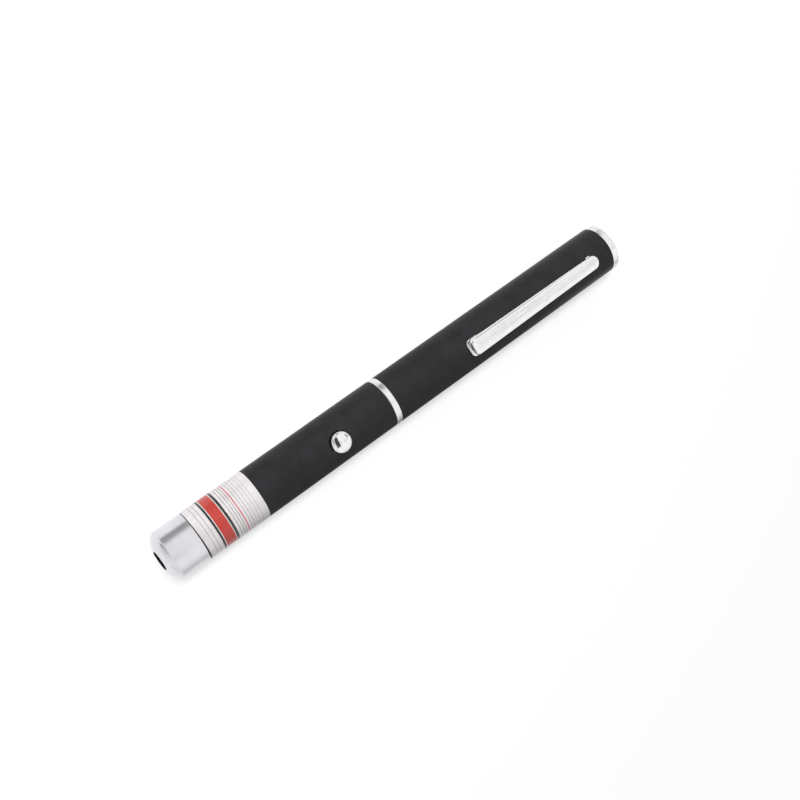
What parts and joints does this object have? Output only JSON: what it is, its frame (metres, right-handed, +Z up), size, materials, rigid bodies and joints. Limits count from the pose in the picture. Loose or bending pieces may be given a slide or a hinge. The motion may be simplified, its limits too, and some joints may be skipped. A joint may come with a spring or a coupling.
{
  "type": "laser pointer",
  "caption": "Pen-shaped laser pointer: matt black barrel in halves that unscrew, silver nozzle, foil label band, chrome push button, joint ring, pocket clip and tail cap.",
  "frame": {"origin": "on the surface the pen lies on, below the middle of its length", "axes": "+X along the barrel towards the beam, +Z up through the push button and the pocket clip"},
  "size_m": [0.1524, 0.014, 0.0161],
  "materials": {
    "satin_silver": "satin turned metal",
    "matt_black": "matt black paint",
    "label_foil": "silver-white foil sticker with plain colour bands",
    "bright_chrome": "polished chrome plate",
    "brass": "turned brass",
    "steel": "plain steel",
    "cell_jacket": "printed metal-look jacket, bare of print",
    "board_green": "solder mask over fibreglass",
    "black_plastic": "moulded black plastic",
    "amber_moulding": "moulded amber case",
    "blue_moulding": "moulded blue case",
    "clear_glass": "polished optical glass",
    "tinted_glass": "tinted filter glass",
    "crystal": "polished crystal"
  },
  "bodies": {
    "front_half": {"nozzle": "satin_silver", "front_barrel": "matt_black", "label_band": "label_foil", "thread_coupler": "brass", "module_housing": "brass", "pump_diode": "steel", "crystal_mount": "brass", "laser_crystal": "crystal", "expander_lens": "clear_glass", "infrared_filter": "tinted_glass", "lens_holder": "brass", "collimating_lens": "clear_glass", "lens_ring": "steel", "circuit_board": "board_green", "board_cradle": "black_plastic", "switch_body": "black_plastic", "driver_chip": "black_plastic", "trim_pot": "blue_moulding", "filter_capacitor": "amber_moulding", "contact_disc": "board_green", "contact_stud": "brass"},
    "button": {"button_cap": "bright_chrome", "switch_plunger": "black_plastic"},
    "cells": {"battery_front": "cell_jacket", "battery_rear": "cell_jacket"},
    "ring": {"joint_ring": "bright_chrome"},
    "rear_half": {"rear_barrel": "matt_black", "tail_cap": "bright_chrome", "tail_spring": "steel"},
    "pocket_clip": {"clip": "bright_chrome"}
  },
  "joints": [
    {"name": "button_press", "type": "slide", "parent": "front_half", "child": "button", "axis": [0, 0, -1], "range_m": [0, 0.0005], "stiffness_N_per_m": 2000, "springref_m": -0.0001},
    {"name": "pull_off", "type": "slide", "parent": "front_half", "child": "cells", "axis": [-1, 0, 0], "range_m": [0, 0.03]},
    {"name": "unscrew_travel", "type": "slide", "parent": "cells", "child": "ring", "axis": [-1, 0, 0], "range_m": [0, 0.004], "deforming": ["tail_spring"]},
    {"name": "unscrew_turn", "type": "hinge", "parent": "ring", "child": "rear_half", "pos_m": [0, 0, 0.007], "axis": [-1, 0, 0], "range_deg": [0, 1440]},
    {"name": "clip_lift", "type": "hinge", "parent": "rear_half", "child": "pocket_clip", "pos_m": [-0.06615, 0, 0.0133], "axis": [0, -1, 0], "range_deg": [0, 3], "stiffness_Nm_per_rad": 5.5, "springref_deg": -0.57}
  ],
  "couplings": [
    {"joint": "unscrew_travel", "follows": "unscrew_turn", "m_per_rad": 0.00015915}
  ]
}
